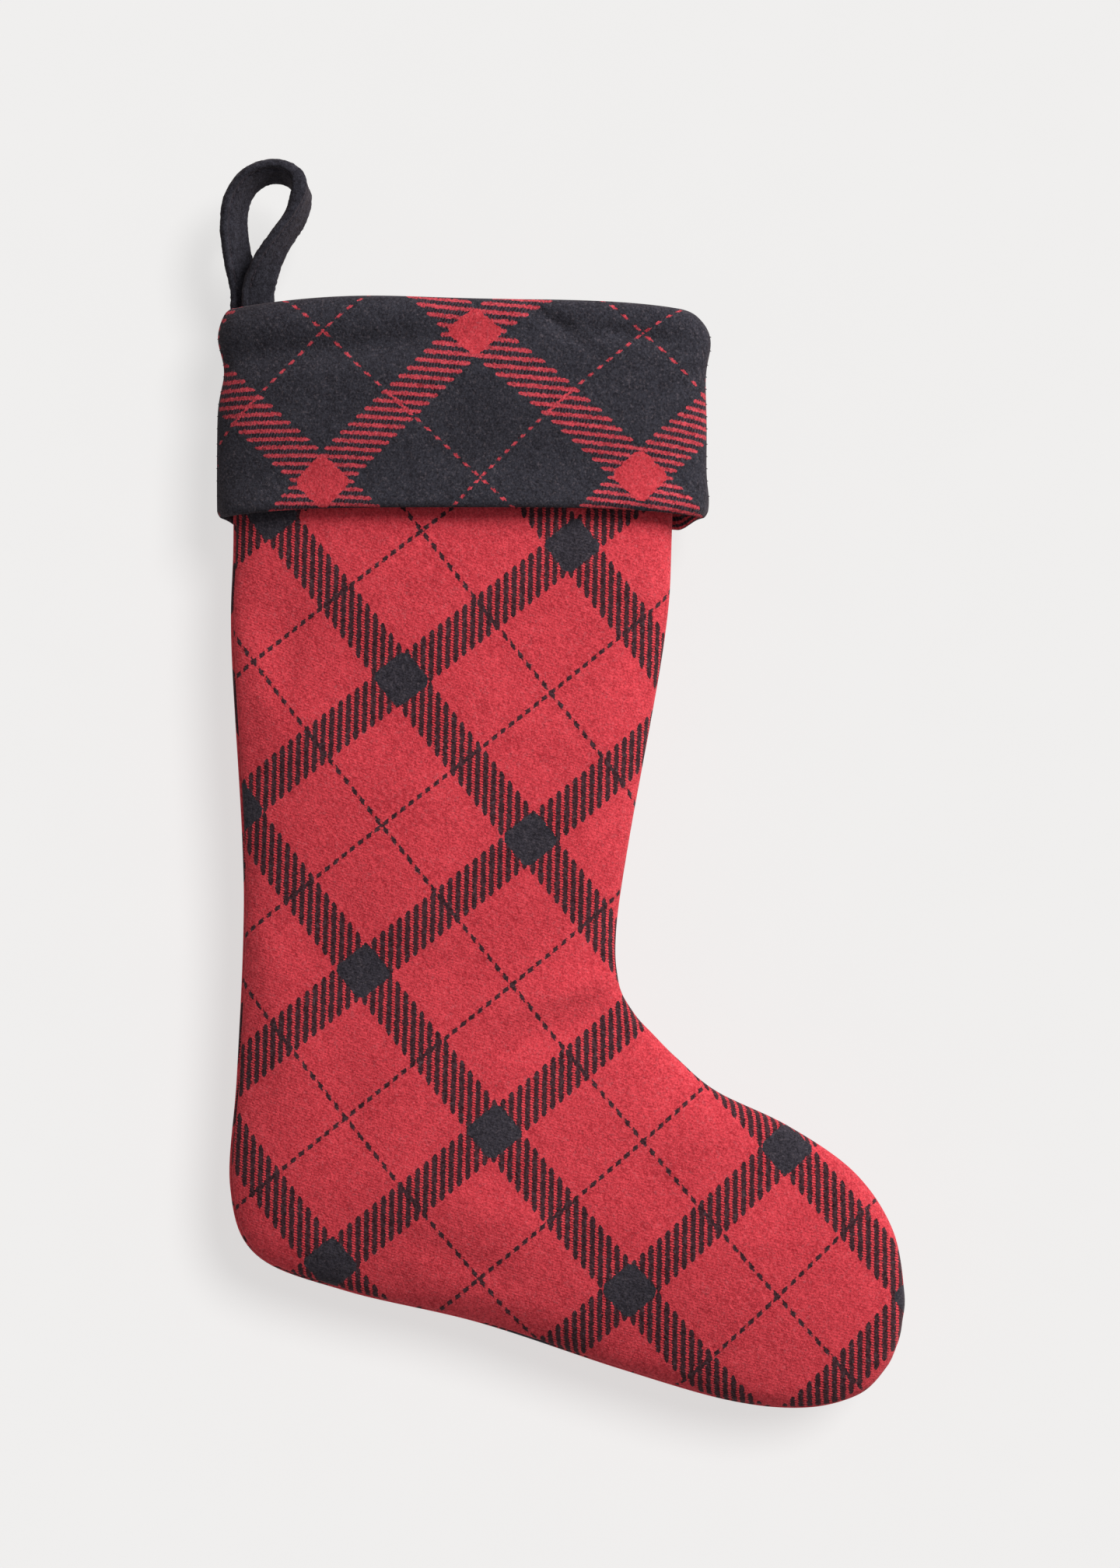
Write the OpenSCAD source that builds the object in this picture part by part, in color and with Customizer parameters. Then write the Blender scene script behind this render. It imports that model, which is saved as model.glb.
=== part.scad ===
// Hanging stocking in plaid felt, with a turned-over cuff and a twisted strap loop.
// Front towards -Y, toe towards +X, +Z up. The origin is where a hook carries the loop.

/* [Stocking] */
// Thickness of the felt double cloth
felt_t = 3; // [1.5:0.1:3.5]
// Thickness of the lining
lining_t = 0.8; // [0.4:0.1:1.2]
// Fullness of the bag: share of its drawn depth
fullness = 1; // [0.9:0.05:1.3]

/* [Cuff] */
// Height of the cuff from the rim to its hem, at the middle
cuff_h = 95; // [80:1:110]
// How far the cuff turns down inside the mouth
turn_in = 26; // [12:1:32]
// How much lower the rim and the hem are at the side seams
corner_droop = 4; // [0:0.5:4.5]

/* [Loop] */
// Width of the strap
strap_w = 15; // [10:0.5:16]
// Length of the strap ends that are sewn in at the mouth
tail_len = 27; // [15:1:30]

/* [Hidden] */

cloth_gap = 0.2;        // between layers that lie on each other
thread_r = 0.4;
thread_sides = 8;
arc_cols = 19;          // points across a panel, from side seam to side seam
cuff_cols = 27;
lens_power = 0.85;      // 1 is a half ellipse across the bag, less is squarer

rim_z = -54;            // top of the cuff, at the middle of the mouth
panel_top_z = -67.5;    // upper edge of the felt, inside the cuff's fold
hinge_z = -50;          // where the strap bends, just above the rim
tail_top_z = -53.5;

// Chords across the leg and the foot, from the mouth to the toe:
// heel side x and z, instep side x and z, and half the depth of the bag
CHORDS = [
    [-19, panel_top_z, 184, panel_top_z, 14],
    [-18.5, -160, 182.5, -160, 15],
    [-19.5, -210, 179, -210, 15],
    [-14.5, -300, 163, -300, 15],
    [-14, -345, 157, -342, 15],
    [-17, -410, 158, -366, 15.5],
    [-20, -460, 165, -380, 16.5],
    [-8, -491, 174, -390, 17],
    [33, -507.5, 185, -401, 17],
    [94, -522, 203, -416, 17],
    [158, -543, 236, -432, 16.5],
    [208, -557.5, 266, -453, 15.5],
    [243, -561, 283.5, -479, 13],
    [268, -555, 289, -508, 9.5],
    [280.5, -543, 288, -522, 5.5],
    [285, -534, 287, -529, 0]];

// The strap's centre line, from its heel side end over the top to its other end:
// x, y, z, turn of its width out of the Y direction, thickness
STRAP = [
    [-12.5, 1.9, hinge_z + 0.1, 85, 3.2],
    [-14.1, 2.2, -42, 74, 3.4],
    [-16.6, 2, -34, 54, 3.8],
    [-18.4, 1.5, -19, 48, 4.2],
    [-17, 1, -8, 46, 4.2],
    [-12.4, 0.5, 0, 42, 4.2],
    [-6.2, 0, 4.2, 38, 4.2],
    [1.2, 0, 5.6, 34, 4.2],
    [9.6, -0.5, 1.8, 16, 4.2],
    [12.6, -1, -6.5, -12, 4.2],
    [9.8, -2, -15.5, -26, 4.2],
    [3.9, -3, -25, -35, 4.2],
    [-1.5, -3.4, -33.9, -50, 3.8],
    [-4.9, -3, -42, -68, 3.4],
    [-7, -1.9, hinge_z + 0.1, -82, 3.2]];

tail_t = STRAP[0][4];
TAIL_CENTRES = [[STRAP[0][0], STRAP[0][1]], [STRAP[len(STRAP) - 1][0], STRAP[len(STRAP) - 1][1]]];

// Nested surfaces, as depths inside the felt's outer face
lining_out = felt_t + cloth_gap;
lining_in = lining_out + lining_t;

// The cuff's own cross-section, at a side seam: centre x, half width, half depth, z.
// It runs up the outside, over the rim, down inside the mouth and back up under itself.
mouth_x = (CHORDS[0][0] + CHORDS[0][2]) / 2;
mouth_a = (CHORDS[0][2] - CHORDS[0][0]) / 2 - lining_in - 0.7;
mouth_b = CHORDS[0][4] * fullness - lining_in - 0.7;
cuff_cloth = 2.2;
hem_z = rim_z - cuff_h;
cuff_x = 86;
cuff_a = 112;
cuff_b = CHORDS[0][4] * fullness + 7.5;
cuff_double = 5;
CUFF = [
    [cuff_x, cuff_a - 2, cuff_b - 2, hem_z],
    [cuff_x, cuff_a, cuff_b, hem_z + 5],
    [cuff_x, cuff_a + 0.2, cuff_b + 0.3, hem_z + 30],
    [cuff_x, cuff_a - 0.5, cuff_b, rim_z - 32],
    [cuff_x - 0.5, cuff_a - 2, cuff_b - 1.5, rim_z - 12],
    [cuff_x - 1.5, cuff_a - 5, cuff_b - 4.5, rim_z - 3],
    [cuff_x - 2.5, cuff_a - 9.5, cuff_b - 8, rim_z],
    [mouth_x + 0.4, mouth_a + 1.5, mouth_b + 1.2, rim_z - 1.2],
    [mouth_x, mouth_a - cuff_cloth + 0.8, mouth_b - cuff_cloth + 0.8, rim_z - 5],
    [mouth_x, mouth_a - cuff_cloth, mouth_b - cuff_cloth, rim_z - 10],
    [mouth_x, mouth_a - cuff_cloth, mouth_b - cuff_cloth, rim_z - turn_in],
    [mouth_x, mouth_a, mouth_b, rim_z - turn_in],
    [mouth_x, mouth_a, mouth_b, rim_z - 8],
    [mouth_x + 0.6, mouth_a + 4, mouth_b + 3.6, rim_z - 3.6],
    [cuff_x - 2, cuff_a - 10.2, cuff_b - 8.6, rim_z - 4.4],
    [cuff_x - 1, cuff_a - cuff_double - 2.4, cuff_b - cuff_double - 1.8, rim_z - 10],
    [cuff_x, cuff_a - cuff_double - 0.6, cuff_b - cuff_double - 0.2, rim_z - 32],
    [cuff_x, cuff_a - cuff_double + 0.2, cuff_b - cuff_double + 0.3, hem_z + 30],
    [cuff_x, cuff_a - cuff_double, cuff_b - cuff_double, hem_z + 4],
    [cuff_x, cuff_a - cuff_double + 1.4, cuff_b - cuff_double + 1.4, hem_z]];

// One span of a smooth curve through rows of numbers, for t from 0 to 1
function span(p0, p1, p2, p3, t) = 0.5 * (2 * p1 + (p2 - p0) * t
    + (2 * p0 - 5 * p1 + 4 * p2 - p3) * t * t
    + (3 * p1 - p0 - 3 * p2 + p3) * t * t * t);

// A smooth curve through every key, with n steps from each key to the next
function smooth(keys, n) = let (last = len(keys) - 1) [
    for (i = [0:last - 1]) for (s = [0:n - 1])
        span(keys[max(i - 1, 0)], keys[i], keys[i + 1], keys[min(i + 2, last)], s / n),
    keys[last]];

function unit(v) = v / norm(v);
function tangent(points, i) =
    unit(points[min(i + 1, len(points) - 1)] - points[max(i - 1, 0)]);

// The closed end outline: down the heel side, round the toe and up the instep side
function outline(rows) = [
    for (r = rows) [r[0], r[1]],
    for (i = [len(rows) - 1:-1:0]) [rows[i][2], rows[i][3]]];

function inward(points, i) = let (t = tangent(points, i)) [-t[1], t[0]];

// The rows of a surface that lies depth inside the felt's outer face
function inset_rows(rows, depth) = let (edge = outline(rows), n = len(rows)) [
    for (i = [0:n - 1]) let (
        heel = edge[i] + depth * inward(edge, i),
        instep = edge[2 * n - 1 - i] + depth * inward(edge, 2 * n - 1 - i))
    [heel, instep, max(rows[i][4] * fullness - depth, 0)]];

function lens(angle) = pow(sin(angle), lens_power);

// Points of one surface, row by row, bulging towards -Y
function sheet_points(rows) = [
    for (r = rows) for (j = [0:arc_cols - 1]) let (
        angle = 180 * j / (arc_cols - 1),
        p = (r[0] + r[1]) / 2 - cos(angle) * (r[1] - r[0]) / 2)
    [p[0], -r[2] * lens(angle), p[1]]];

// Two triangles for the square whose corners are given clockwise from outside
function square_of(a, b, c, d) = [[a, b, c], [a, c, d]];

// Half of the bag between two depths: it meets its other half face to face at y = 0
module half_shell(outer_depth, inner_depth) {
    rows = smooth(CHORDS, 2);
    n = len(rows);
    m = arc_cols;
    inner = n * m;
    points = concat(sheet_points(inset_rows(rows, outer_depth)),
        sheet_points(inset_rows(rows, inner_depth)));
    faces = [
        for (i = [0:n - 2]) for (j = [0:m - 2]) let (k = i * m + j)
            each square_of(k, k + 1, k + m + 1, k + m),
        for (i = [0:n - 2]) for (j = [0:m - 2]) let (k = inner + i * m + j)
            each square_of(k, k + m, k + m + 1, k + 1),
        for (j = [0:m - 2])
            each square_of(j, inner + j, inner + j + 1, j + 1),
        for (j = [0:m - 2]) let (k = (n - 1) * m + j)
            each square_of(k, k + 1, inner + k + 1, inner + k),
        for (i = [0:n - 2]) let (k = i * m)
            each square_of(k, k + m, inner + k + m, inner + k),
        for (i = [0:n - 2]) let (k = i * m + m - 1)
            each square_of(k, inner + k, inner + k + m, k + m)];
    polyhedron(points, faces);
}

// Half of the cuff, with its cut ends face to face with its other half at y = 0
module half_cuff() {
    n = len(CUFF);
    m = cuff_cols;
    points = [
        for (r = CUFF) for (j = [0:m - 1]) let (angle = 180 * j / (m - 1))
            [r[0] - r[1] * cos(angle), -r[2] * lens(angle),
                r[3] - corner_droop * pow(cos(angle), 4)]];
    faces = [
        for (i = [0:n - 1]) for (j = [0:m - 2]) let (k = i * m + j, up = ((i + 1) % n) * m + j)
            each square_of(k, up, up + 1, k + 1),
        [for (i = [n - 1:-1:0]) i * m],
        [for (i = [0:n - 1]) i * m + m - 1]];
    polyhedron(points, faces);
}

// The strap's own directions at one point of its path: along, across and through
function strap_frame(path, i) = let (
    along = tangent([for (p = path) [p[0], p[1], p[2]]], i),
    inside = unit([along[2], 0, -along[0]]),
    turn = path[i][3],
    leaning = cos(turn) * [0, 1, 0] + sin(turn) * inside,
    across = unit(leaning - (leaning * along) * along))
    [along, across, cross(along, across)];

module strap() {
    path = smooth(STRAP, 3);
    chamfer = 0.8;
    // Corners of the section: side across, side through, and 1 on the broad faces
    ring = [[1, -1, 0], [1, 1, 0], [1, 1, 1], [-1, 1, 1],
        [-1, 1, 0], [-1, -1, 0], [-1, -1, 1], [1, -1, 1]];
    sides = len(ring);
    n = len(path);
    points = [
        for (i = [0:n - 1]) let (f = strap_frame(path, i), half_t = path[i][4] / 2)
            for (s = ring)
                [path[i][0], path[i][1], path[i][2]]
                    + s[0] * (strap_w / 2 - s[2] * chamfer) * f[1]
                    + s[1] * (half_t - (1 - s[2]) * chamfer) * f[2]];
    faces = [
        for (i = [0:n - 2]) for (j = [0:sides - 1]) let (
            k = i * sides + j,
            next = i * sides + (j + 1) % sides)
            each square_of(k, k + sides, next + sides, next),
        [for (j = [0:sides - 1]) j],
        [for (j = [sides - 1:-1:0]) (n - 1) * sides + j]];
    polyhedron(points, faces);
}

// A short straight stitch, centred on a point and lying along a direction
module stitch(at, direction, long) {
    d = unit(direction);
    translate(at)
        rotate([0, acos(d[2]), atan2(d[1], d[0])])
            cylinder(h = long, r = thread_r, center = true, $fn = thread_sides);
}

module front_panel() {
    color([0.75, 0.25, 0.28])
        half_shell(0, felt_t);
}

module back_panel() {
    color([0.72, 0.24, 0.27])
        mirror([0, 1, 0]) half_shell(0, felt_t);
}

module lining_front() {
    color([0.35, 0.1, 0.12])
        half_shell(lining_out, lining_in);
}

module lining_back() {
    color([0.33, 0.09, 0.11])
        mirror([0, 1, 0]) half_shell(lining_out, lining_in);
}

module cuff_front() {
    color([0.2, 0.19, 0.22])
        half_cuff();
}

module cuff_back() {
    color([0.18, 0.17, 0.2])
        mirror([0, 1, 0]) half_cuff();
}

module hanging_loop() {
    color([0.22, 0.21, 0.24]) strap();
}

module loop_tails() {
    color([0.22, 0.21, 0.24])
        for (c = TAIL_CENTRES)
            translate([c[0] - strap_w / 2, c[1] - tail_t / 2, tail_top_z - tail_len])
                cube([strap_w, tail_t, tail_len]);
}

// One row of stitches that closes the folded strap, a little in from its near edge
module loop_edge_stitching() {
    path = smooth(STRAP, 3);
    edge_in = 3.2;
    color([0.12, 0.12, 0.14])
        for (i = [2:len(path) - 3])
            let (f = strap_frame(path, i))
                stitch([path[i][0], path[i][1], path[i][2]] - (strap_w / 2 - edge_in) * f[1],
                    f[2], path[i][4] + 0.4);
}

// Bar stitches that hold the strap's two ends together inside the mouth
module loop_bartack() {
    overlap_x = (TAIL_CENTRES[0][0] + TAIL_CENTRES[1][0]) / 2;
    color([0.12, 0.12, 0.14])
        for (z = [-60, -64, -68, -72]) for (dx = [-3, 0, 3])
            stitch([overlap_x + dx, 0, z], [0, 1, 0], 2 * (tail_t + 0.8));
}

// Stitches through the meeting edges of the front and the back panel
module side_seam_stitching() {
    seam_in = 1.6;
    rows = inset_rows(smooth(CHORDS, 5), seam_in);
    seam_top_z = -84;
    color([0.45, 0.1, 0.12])
        for (r = rows) for (p = [r[0], r[1]])
            if (p[1] < seam_top_z)
                stitch([p[0], 0, p[1]], [0, 1, 0], 3);
}

// Stitches through the meeting ends of the cuff's two halves
module cuff_side_stitching() {
    seam_in = 2.5;
    pitch = 7;
    color([0.12, 0.12, 0.14])
        for (x = [cuff_x - cuff_a + seam_in, cuff_x + cuff_a - seam_in])
            for (z = [hem_z + 4:pitch:rim_z - 34])
                stitch([x, 0, z], [0, 1, 0], 3);
}

// Stitches that join the cuff, the lining and the felt inside the mouth
module mouth_seam_stitching() {
    seam_z = rim_z - 18;
    pitch = 9;
    half_run = 72;
    layers = lining_in + cuff_cloth;
    color([0.12, 0.12, 0.14])
        for (side = [-1, 1]) for (dx = [-half_run:pitch:half_run])
            let (angle = acos(dx / (mouth_a + 2)),
                y = (mouth_b + 1.2) * lens(angle))
                stitch([mouth_x + dx, side * y, seam_z], [0, 1, 0], layers);
}

front_panel();
back_panel();
lining_front();
lining_back();
cuff_front();
cuff_back();
hanging_loop();
loop_tails();
loop_edge_stitching();
loop_bartack();
side_seam_stitching();
cuff_side_stitching();
mouth_seam_stitching();
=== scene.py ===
"""Hanging felt stocking: the visible cloth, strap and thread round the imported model."""
import math

import bmesh
import bpy
import numpy as np
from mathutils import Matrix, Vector, noise


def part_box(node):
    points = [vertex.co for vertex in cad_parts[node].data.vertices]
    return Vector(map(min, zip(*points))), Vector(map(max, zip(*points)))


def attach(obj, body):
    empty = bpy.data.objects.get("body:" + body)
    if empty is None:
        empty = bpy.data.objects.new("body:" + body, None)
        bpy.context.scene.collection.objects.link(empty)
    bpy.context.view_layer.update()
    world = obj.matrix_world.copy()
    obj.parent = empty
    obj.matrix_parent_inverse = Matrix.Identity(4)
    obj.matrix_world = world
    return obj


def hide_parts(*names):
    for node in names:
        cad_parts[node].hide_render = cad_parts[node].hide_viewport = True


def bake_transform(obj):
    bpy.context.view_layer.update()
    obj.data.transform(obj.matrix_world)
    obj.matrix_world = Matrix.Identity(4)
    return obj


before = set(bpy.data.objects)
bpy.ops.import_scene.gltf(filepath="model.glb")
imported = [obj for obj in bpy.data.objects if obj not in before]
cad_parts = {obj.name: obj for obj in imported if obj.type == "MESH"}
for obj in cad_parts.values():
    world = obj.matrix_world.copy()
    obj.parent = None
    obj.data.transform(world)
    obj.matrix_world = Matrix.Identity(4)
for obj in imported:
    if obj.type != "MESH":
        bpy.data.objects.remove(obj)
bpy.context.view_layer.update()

MM = 0.001

# ---------------------------------------------------------------- sizes, in millimetres

FELT_T = 3.0            # thickness of the felt double cloth
LINING_GAP = 0.3
LINING_T = 0.6
BAG_ROWS = 250          # rows of the bag's fine grid, from the mouth to the toe
PANEL_COLUMNS = 110
CUFF_ROWS = 190         # once round the cuff's doubled section
CUFF_COLUMNS = 170
STRAP_ROWS = 300

RIM_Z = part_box("cuff_front")[1].z / MM
PANEL_TOP_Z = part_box("front_panel")[1].z / MM
HINGE_Z = -50.0

# Chords across the leg and foot, from the mouth to the toe: heel side x and z,
# instep side x and z, half the depth of the bag
CHORDS = [
    [-19, PANEL_TOP_Z, 184, PANEL_TOP_Z, 14],
    [-18.5, -160, 182.5, -160, 15],
    [-19.5, -210, 179, -210, 15],
    [-14.5, -300, 163, -300, 15],
    [-14, -345, 157, -342, 15],
    [-17, -410, 158, -366, 15.5],
    [-20, -460, 165, -380, 16.5],
    [-8, -491, 174, -390, 17],
    [33, -507.5, 185, -401, 17],
    [94, -522, 203, -416, 17],
    [158, -543, 236, -432, 16.5],
    [208, -557.5, 266, -453, 15.5],
    [243, -561, 283.5, -479, 13],
    [268, -555, 289, -508, 9.5],
    [280.5, -543, 288, -522, 5.5],
    [285, -534, 287, -529, 0]]

# The strap's centre line, from one sewn-in end over the top to the other:
# x, y, z, turn of its width out of the Y direction, thickness
STRAP_W = 15.0
TAIL_LOW_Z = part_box("loop_tails")[0].z / MM
STRAP = [
    [-12.5, 1.9, TAIL_LOW_Z, 89, 3.2],
    [-12.5, 1.9, -70, 89, 3.2],
    [-12.5, 1.9, -58, 88, 3.2],
    [-12.5, 1.9, HINGE_Z, 85, 3.2],
    [-14.1, 2.2, -42, 74, 3.4],
    [-16.6, 2, -34, 54, 3.8],
    [-18.4, 1.5, -19, 48, 4.2],
    [-17, 1, -8, 46, 4.2],
    [-12.4, 0.5, 0, 42, 4.2],
    [-6.2, 0, 4.2, 38, 4.2],
    [1.2, 0, 5.6, 34, 4.4],
    [7.6, -0.4, 3.8, 26, 5.2],
    [11.2, -0.7, 0, 8, 7.2],
    [12.5, -1, -6.2, -14, 7.0],
    [10.1, -2, -15.5, -30, 4.8],
    [4.0, -3, -25, -36, 4.2],
    [-1.5, -3.4, -33.9, -50, 3.8],
    [-4.9, -3, -42, -68, 3.4],
    [-7, -1.9, HINGE_Z, -82, 3.2],
    [-7, -1.9, -58, -88, 3.2],
    [-7, -1.9, -70, -89, 3.2],
    [-7, -1.9, TAIL_LOW_Z, -89, 3.2]]

# The plaid: its lattice of crossings (i, j) and its count of twill strokes, for a place
# (x, z) in decimetres. Each row is: constant, x, z, x*x, x*z, z*z, and then the cubes:
# x*x*x, x*x*z, x*z*z, z*z*z
LEG_PLAID = [
    [0.9443, 0.7732, 0.5984, -0.0133, -0.0273, -0.0143, 0.0046, 0.0025, -0.0037, -0.0013],
    [-2.1572, 0.5534, -0.7336, 0.0068, -0.0489, 0.0283, 0.0084, 0.0043, -0.0052, 0.0028],
    [0, 27.6, -0.9, 0, 0.3, 0]]
CUFF_PLAID = [
    [0.8709, 0.7119, 0.7983, -0.016, 0.0079, 0.0315],
    [-1.2753, 0.6701, -0.9717, 0.0004, -0.026, -0.1147],
    [0, -1.54, -20.9, -0.22, 0, 2.4]]
BAND_W = 0.195          # width of a wide band, in periods


# ---------------------------------------------------------------- camera

VIEW_CENTRE = Vector((131.2 * MM, 0, -275.2 * MM))
VIEW_HEIGHT = 718.7 * MM        # what the picture shows from top to bottom, at the stocking
CAMERA_DISTANCE = 2.6
SENSOR_MM = 36


def make_camera():
    """Straight on from the front, far enough away for little perspective."""
    data = bpy.data.cameras.new("camera")
    data.sensor_fit = "VERTICAL"
    data.sensor_height = data.sensor_width = SENSOR_MM
    data.lens = SENSOR_MM * CAMERA_DISTANCE / VIEW_HEIGHT
    cam = bpy.data.objects.new("camera", data)
    cam.location = VIEW_CENTRE - Vector((0, CAMERA_DISTANCE, 0))
    cam.rotation_euler = (math.radians(90), 0, 0)
    bpy.context.scene.collection.objects.link(cam)
    bpy.context.scene.camera = cam


make_camera()


# ---------------------------------------------------------------- mesh helpers

def smooth_keys(keys, steps):
    """A smooth curve through every key row, with this many steps between keys."""
    k = np.array(keys, float)
    p = np.vstack([k[:1], k, k[-1:]])
    out = []
    for a, b, c, d in zip(p, p[1:], p[2:], p[3:]):
        for t in np.arange(steps) / steps:
            out.append(0.5 * (2 * b + (c - a) * t + (2 * a - 5 * b + 4 * c - d) * t ** 2
                              + (3 * b - a - 3 * c + d) * t ** 3))
    return np.array(out + [k[-1]])


def even_rows(rows, columns, count):
    """Resamples rows so that the travel of the given columns is the same between them."""
    step = np.abs(np.diff(rows[:, columns], axis=0)).sum(1)
    along = np.concatenate([[0], np.cumsum(step)])
    wanted = np.linspace(0, along[-1], count)
    return np.stack([np.interp(wanted, along, c) for c in rows.T], 1)


def grid_normals(grid):
    """Unit normals of a grid of points, from its differences along rows and columns."""
    down = np.gradient(grid, axis=0)
    across = np.gradient(grid, axis=1)
    n = np.cross(across, down)
    return n / np.maximum(np.linalg.norm(n, axis=2, keepdims=True), 1e-9)


def quads(rows, columns, close_rows=False, close_columns=False, offset=0, flip=False):
    """The faces of a grid of points, numbered row by row."""
    i = np.arange(rows if close_rows else rows - 1)
    j = np.arange(columns if close_columns else columns - 1)
    i, j = np.meshgrid(i, j, indexing="ij")
    i2, j2 = (i + 1) % rows, (j + 1) % columns
    corners = [i * columns + j, i * columns + j2, i2 * columns + j2, i2 * columns + j]
    q = np.stack(corners, -1).reshape(-1, 4) + offset
    return q[:, ::-1] if flip else q


def add_mesh(name, points, faces, lattice=None):
    """A smooth mesh from points in millimetres, with the plaid's lattice as its UV map."""
    mesh = bpy.data.meshes.new(name)
    mesh.from_pydata((np.asarray(points) * MM).tolist(), [], [list(map(int, f)) for f in faces])
    mesh.update()
    if lattice is not None:
        at = np.zeros(len(mesh.loops), int)
        mesh.loops.foreach_get("vertex_index", at)
        lattice = np.asarray(lattice)[at]
        mesh.uv_layers.new(name="plaid").data.foreach_set("uv", lattice[:, :2].ravel())
        if lattice.shape[1] > 2:
            twill = np.stack([lattice[:, 2], 0 * lattice[:, 2]], 1)
            mesh.uv_layers.new(name="twill").data.foreach_set("uv", twill.ravel())
    mesh.polygons.foreach_set("use_smooth", [True] * len(mesh.polygons))
    obj = bpy.data.objects.new(name, mesh)
    bpy.context.scene.collection.objects.link(obj)
    return obj


def lattice_at(table, flat):
    """The plaid's (i, j, stroke) at places (x, z) in millimetres."""
    x, z = flat[..., 0] / 100, flat[..., 1] / 100
    terms = np.stack([np.ones_like(x), x, z, x * x, x * z, z * z,
                      x ** 3, x * x * z, x * z * z, z ** 3], -1)
    return np.stack([terms[..., :len(row)] @ np.array(row) for row in table], -1)


def arc_from(grid, column):
    """How far along the cloth each point of a row is from that row's given column, signed."""
    step = np.linalg.norm(np.diff(grid, axis=1), axis=2)
    along = np.concatenate([np.zeros((len(grid), 1)), np.cumsum(step, 1)], 1)
    return along - along[:, column][:, None]


def middle_column(degrees):
    """The column in the middle of the front or of the back."""
    return int(np.abs(np.abs(np.cos(np.radians(degrees)))).argmin())


# ---------------------------------------------------------------- leg and foot

LENS_POWER = 0.8
HEEL_SEAM_DEG = 8.5     # the back panel wraps this far round the heel side edge
INSTEP_SEAM_DEG = 3.0
SEAM_DIP, SEAM_DIP_REACH = 0.45, 0.9
BACK_PLAID_SHIFT = [137, 40]    # where the back's cut lies on the plaid, x and z


def bag_rows():
    """The chords of the leg and foot, closely spaced."""
    return even_rows(smooth_keys(CHORDS, 24), [0, 1, 2, 3], BAG_ROWS)


def lens(angle):
    """How far the cloth stands out at an angle round the bag, from -1 to 1."""
    s = np.sin(angle)
    return np.sign(s) * np.abs(s) ** LENS_POWER


def bag_grid(rows, degrees):
    """Points round part of the bag: angle 0 is the heel side edge, 90 the front's middle."""
    angle = np.radians(degrees)
    heel, instep, depth = rows[:, :2], rows[:, 2:4], rows[:, 4]
    middle, half = (heel + instep) / 2, (instep - heel) / 2
    flat = middle[:, None] - np.cos(angle)[None, :, None] * half[:, None]
    y = -depth[:, None] * lens(angle)[None]
    return np.stack([flat[..., 0], y, flat[..., 1]], -1)


# Soft dents and swells of the front: x, z, reach along x and z, lean in degrees, height
FRONT_RELIEF = [
    (138, -368, 26, 7, 18, 2.3),
    (128, -388, 34, 8, 18, -1.8),
    (100, -352, 30, 14, 30, -0.7),
    (198, -432, 16, 9, -30, 0.9),
    (172, -450, 20, 14, -30, -1.0),
    (60, -330, 60, 22, 10, 0.8),
    (0, -352, 12, 18, 0, 0.9),
    (4, -218, 10, 24, 0, -1.2),
    (34, -420, 12, 40, 12, -0.9),
    (84, -492, 40, 8, -20, -1.3),
    (96, -470, 40, 9, -20, 1.0),
    (190, -500, 50, 16, -32, 0.9),
    (120, -190, 30, 36, -14, -0.9),
    (150, -260, 12, 50, -8, 0.9),
    (90, -280, 40, 14, 24, -0.8)]
BACK_RELIEF = [
    (30, -350, 34, 10, 30, -1.6),
    (90, -240, 30, 60, 10, 1.0),
    (140, -300, 20, 60, -10, -1.0),
    (90, -450, 60, 18, -16, 1.2),
    (200, -500, 50, 16, -24, -1.0)]


def relief_at(bumps, x, z):
    """The height of all the dents and swells at each place."""
    total = np.zeros_like(x)
    for bx, bz, rx, rz, lean, height in bumps:
        c, s = math.cos(math.radians(lean)), math.sin(math.radians(lean))
        u, v = (x - bx) * c + (z - bz) * s, -(x - bx) * s + (z - bz) * c
        total += height * np.exp(-(u / rx) ** 2 - (v / rz) ** 2)
    return total


def seam_groove(grid):
    """How far the cloth dips beside its two side seams."""
    step = np.linalg.norm(np.diff(grid, axis=1), axis=2)
    along = np.concatenate([np.zeros((len(grid), 1)), np.cumsum(step, 1)], 1)
    back = along[:, -1:] - along
    return SEAM_DIP * sum(np.exp(-(d / SEAM_DIP_REACH) ** 2) for d in (along, back))


def closed_cloth(name, outer, normals, thickness, lattice):
    """A closed sheet of the given thickness whose outer face is the grid."""
    rows, columns = outer.shape[:2]
    count = rows * columns
    inner = outer - normals * thickness
    points = np.concatenate([outer.reshape(-1, 3), inner.reshape(-1, 3)])
    top = np.arange(columns)
    bottom = top + (rows - 1) * columns
    left = np.arange(rows) * columns
    right = left + columns - 1
    rims = []
    for line, flip in ((top, True), (bottom, False), (left, False), (right, True)):
        a, b = line[:-1], line[1:]
        strip = np.stack([a, b, b + count, a + count], 1)
        rims.append(strip[:, ::-1] if flip else strip)
    faces = np.concatenate([quads(rows, columns), quads(rows, columns, offset=count, flip=True)]
                           + rims)
    both = np.concatenate([lattice.reshape(count, -1)] * 2)
    obj = add_mesh(name, points, faces, both)
    fix_normals(obj)
    return obj


def fix_normals(obj):
    """Turns every face of a closed mesh outward."""
    bm = bmesh.new()
    bm.from_mesh(obj.data)
    bmesh.ops.recalc_face_normals(bm, faces=bm.faces)
    bm.to_mesh(obj.data)
    bm.free()


SETTLE_CAP = 1.3        # how far, in millimetres, the simulation may move the cloth
SETTLE_SOFT = 5.0       # a move of this many millimetres is brought close to the cap
SETTLE_FRAMES = 32
SETTLE_ROWS = 86
SETTLE_STEP = 6         # degrees between the coarse bag's columns
SETTLE_HOLD = 0.12      # how strongly the free cloth is drawn back to its place, of 1


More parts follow.
